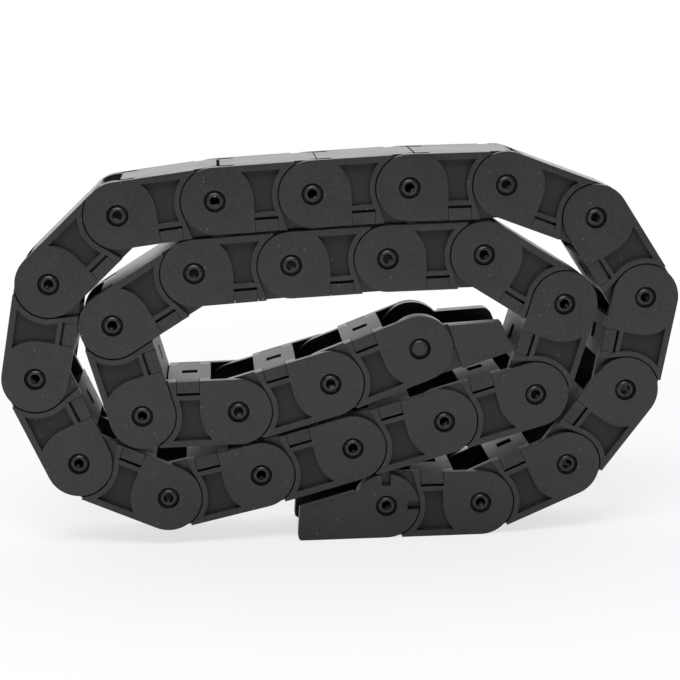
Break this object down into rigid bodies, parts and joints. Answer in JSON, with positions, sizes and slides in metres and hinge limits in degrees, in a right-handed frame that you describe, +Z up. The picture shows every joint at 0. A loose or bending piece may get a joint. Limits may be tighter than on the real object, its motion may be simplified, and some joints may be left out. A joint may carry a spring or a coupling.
{
  "type": "cable drag chain",
  "caption": "Plastic cable carrier of hinged box links with snap-fit lids and a screw-down bracket at each end, coiled in a loose oval and standing on its edge.",
  "frame": {"origin": "middle of the fixed end's two screw holes, on the surface that its base stands on", "axes": "+X along the fixed end's base towards its pivot, +Y across the chain, away from the picture's camera, +Z up"},
  "size_m": [0.2397, 0.0366, 0.1379],
  "materials": {
    "link_nylon": "fine moulded black nylon",
    "lid_nylon": "fine moulded black nylon",
    "bracket_nylon": "fine moulded black nylon"
  },
  "bodies": {
    "fixed_end": {"fixed_end_bracket": "bracket_nylon"},
    "link_01": {"link_01_body": "link_nylon", "link_01_lid": "lid_nylon"},
    "link_02": {"link_02_body": "link_nylon", "link_02_lid": "lid_nylon"},
    "link_03": {"link_03_body": "link_nylon", "link_03_lid": "lid_nylon"},
    "link_04": {"link_04_body": "link_nylon", "link_04_lid": "lid_nylon"},
    "link_05": {"link_05_body": "link_nylon", "link_05_lid": "lid_nylon"},
    "link_06": {"link_06_body": "link_nylon", "link_06_lid": "lid_nylon"},
    "link_07": {"link_07_body": "link_nylon", "link_07_lid": "lid_nylon"},
    "link_08": {"link_08_body": "link_nylon", "link_08_lid": "lid_nylon"},
    "link_09": {"link_09_body": "link_nylon", "link_09_lid": "lid_nylon"},
    "link_10": {"link_10_body": "link_nylon", "link_10_lid": "lid_nylon"},
    "link_11": {"link_11_body": "link_nylon", "link_11_lid": "lid_nylon"},
    "link_12": {"link_12_body": "link_nylon", "link_12_lid": "lid_nylon"},
    "link_13": {"link_13_body": "link_nylon", "link_13_lid": "lid_nylon"},
    "link_14": {"link_14_body": "link_nylon", "link_14_lid": "lid_nylon"},
    "link_15": {"link_15_body": "link_nylon", "link_15_lid": "lid_nylon"},
    "link_16": {"link_16_body": "link_nylon", "link_16_lid": "lid_nylon"},
    "link_17": {"link_17_body": "link_nylon", "link_17_lid": "lid_nylon"},
    "link_18": {"link_18_body": "link_nylon", "link_18_lid": "lid_nylon"},
    "link_19": {"link_19_body": "link_nylon", "link_19_lid": "lid_nylon"},
    "link_20": {"link_20_body": "link_nylon", "link_20_lid": "lid_nylon"},
    "link_21": {"link_21_body": "link_nylon", "link_21_lid": "lid_nylon"},
    "link_22": {"link_22_body": "link_nylon", "link_22_lid": "lid_nylon"},
    "link_23": {"link_23_body": "link_nylon", "link_23_lid": "lid_nylon"},
    "link_24": {"link_24_body": "link_nylon", "link_24_lid": "lid_nylon"},
    "link_25": {"link_25_body": "link_nylon", "link_25_lid": "lid_nylon"},
    "link_26": {"link_26_body": "link_nylon", "link_26_lid": "lid_nylon"},
    "link_27": {"link_27_body": "link_nylon", "link_27_lid": "lid_nylon"},
    "link_28": {"link_28_body": "link_nylon", "link_28_lid": "lid_nylon"},
    "moving_end": {"moving_end_bracket": "bracket_nylon"}
  },
  "joints": [
    {"name": "pivot_01", "type": "hinge", "parent": "fixed_end", "child": "link_01", "pos_m": [0.022, 0, 0.01175], "axis": [0, -1, 0], "range_deg": [0, 6]},
    {"name": "pivot_02", "type": "hinge", "parent": "link_01", "child": "link_02", "pos_m": [0.056, 0, 0.01175], "axis": [0, -1, 0], "range_deg": [-22.75, 0]},
    {"name": "pivot_03", "type": "hinge", "parent": "link_02", "child": "link_03", "pos_m": [0.08735, 0, 0.0249], "axis": [0, -1, 0], "range_deg": [-29, 0]},
    {"name": "pivot_04", "type": "hinge", "parent": "link_03", "child": "link_04", "pos_m": [0.1084, 0, 0.0516], "axis": [0, -1, 0], "range_deg": [-26.5, 0]},
    {"name": "pivot_05", "type": "hinge", "parent": "link_04", "child": "link_05", "pos_m": [0.11533, 0, 0.08489], "axis": [0, -1, 0], "range_deg": [-43.5, 0]},
    {"name": "pivot_06", "type": "hinge", "parent": "link_05", "child": "link_06", "pos_m": [0.09744, 0, 0.1138], "axis": [0, -1, 0], "range_deg": [-37, 0]},
    {"name": "pivot_07", "type": "hinge", "parent": "link_06", "child": "link_07", "pos_m": [0.06575, 0, 0.12612], "axis": [0, -1, 0], "range_deg": [-21.5, 0]},
    {"name": "pivot_08", "type": "hinge", "parent": "link_07", "child": "link_08", "pos_m": [0.03175, 0, 0.12597], "axis": [0, -1, 0], "range_deg": [-2, 0]},
    {"name": "pivot_09", "type": "hinge", "parent": "link_08", "child": "link_09", "pos_m": [-0.00223, 0, 0.12464], "axis": [0, -1, 0], "range_deg": [-0.5, 0]},
    {"name": "pivot_10", "type": "hinge", "parent": "link_09", "child": "link_10", "pos_m": [-0.03619, 0, 0.12301], "axis": [0, -1, 0], "range_deg": [-0.4, 0]},
    {"name": "pivot_11", "type": "hinge", "parent": "link_10", "child": "link_11", "pos_m": [-0.06993, 0, 0.11886], "axis": [0, -1, 0], "range_deg": [-0.15, 0]},
    {"name": "pivot_12", "type": "hinge", "parent": "link_11", "child": "link_12", "pos_m": [-0.0947, 0, 0.09557], "axis": [0, -1, 0], "range_deg": [-0.1, 0]},
    {"name": "pivot_13", "type": "hinge", "parent": "link_12", "child": "link_13", "pos_m": [-0.10089, 0, 0.06214], "axis": [0, -1, 0], "range_deg": [-0.1, 0.2]},
    {"name": "pivot_14", "type": "hinge", "parent": "link_13", "child": "link_14", "pos_m": [-0.08693, 0, 0.03114], "axis": [0, -1, 0], "range_deg": [-0.1, 0.07]},
    {"name": "pivot_15", "type": "hinge", "parent": "link_14", "child": "link_15", "pos_m": [-0.05581, 0, 0.01744], "axis": [0, -1, 0], "range_deg": [-0.15, 0]},
    {"name": "pivot_16", "type": "hinge", "parent": "link_15", "child": "link_16", "pos_m": [-0.02258, 0, 0.02466], "axis": [0, -1, 0], "range_deg": [-0.3, 0]},
    {"name": "pivot_17", "type": "hinge", "parent": "link_16", "child": "link_17", "pos_m": [0.0103, 0, 0.03331], "axis": [0, -1, 0], "range_deg": [0, 0.08]},
    {"name": "pivot_18", "type": "hinge", "parent": "link_17", "child": "link_18", "pos_m": [0.04318, 0, 0.04197], "axis": [0, -1, 0], "range_deg": [-0.01, 0.07]},
    {"name": "pivot_19", "type": "hinge", "parent": "link_18", "child": "link_19", "pos_m": [0.07598, 0, 0.05091], "axis": [0, -1, 0], "range_deg": [0, 0.2]},
    {"name": "pivot_20", "type": "hinge", "parent": "link_19", "child": "link_20", "pos_m": [0.08634, 0, 0.08329], "axis": [0, -1, 0], "range_deg": [-0.1, 0]},
    {"name": "pivot_21", "type": "hinge", "parent": "link_20", "child": "link_21", "pos_m": [0.05775, 0, 0.10169], "axis": [0, -1, 0], "range_deg": [0, 0.08]},
    {"name": "pivot_22", "type": "hinge", "parent": "link_21", "child": "link_22", "pos_m": [0.02375, 0, 0.10124], "axis": [0, -1, 0], "range_deg": [-0.08, 0]},
    {"name": "pivot_23", "type": "hinge", "parent": "link_22", "child": "link_23", "pos_m": [-0.01022, 0, 0.09991], "axis": [0, -1, 0], "range_deg": [-0.4, 0]},
    {"name": "pivot_24", "type": "hinge", "parent": "link_23", "child": "link_24", "pos_m": [-0.04417, 0, 0.09798], "axis": [0, -1, 0], "range_deg": [-0.3, 0]},
    {"name": "pivot_25", "type": "hinge", "parent": "link_24", "child": "link_25", "pos_m": [-0.07323, 0, 0.08034], "axis": [0, -1, 0], "range_deg": [-0.5, 0.3]},
    {"name": "pivot_26", "type": "hinge", "parent": "link_25", "child": "link_26", "pos_m": [-0.064, 0, 0.04762], "axis": [0, -1, 0], "range_deg": [-0.5, 0]},
    {"name": "pivot_27", "type": "hinge", "parent": "link_26", "child": "link_27", "pos_m": [-0.03001, 0, 0.04806], "axis": [0, -1, 0], "range_deg": [-0.06, 0.5]},
    {"name": "pivot_28", "type": "hinge", "parent": "link_27", "child": "link_28", "pos_m": [0.0028, 0, 0.05701], "axis": [0, -1, 0], "range_deg": [-0.18, 0.84]},
    {"name": "pivot_29", "type": "hinge", "parent": "link_28", "child": "moving_end", "pos_m": [0.03469, 0, 0.06877], "axis": [0, -1, 0], "range_deg": [0, 12]}
  ]
}
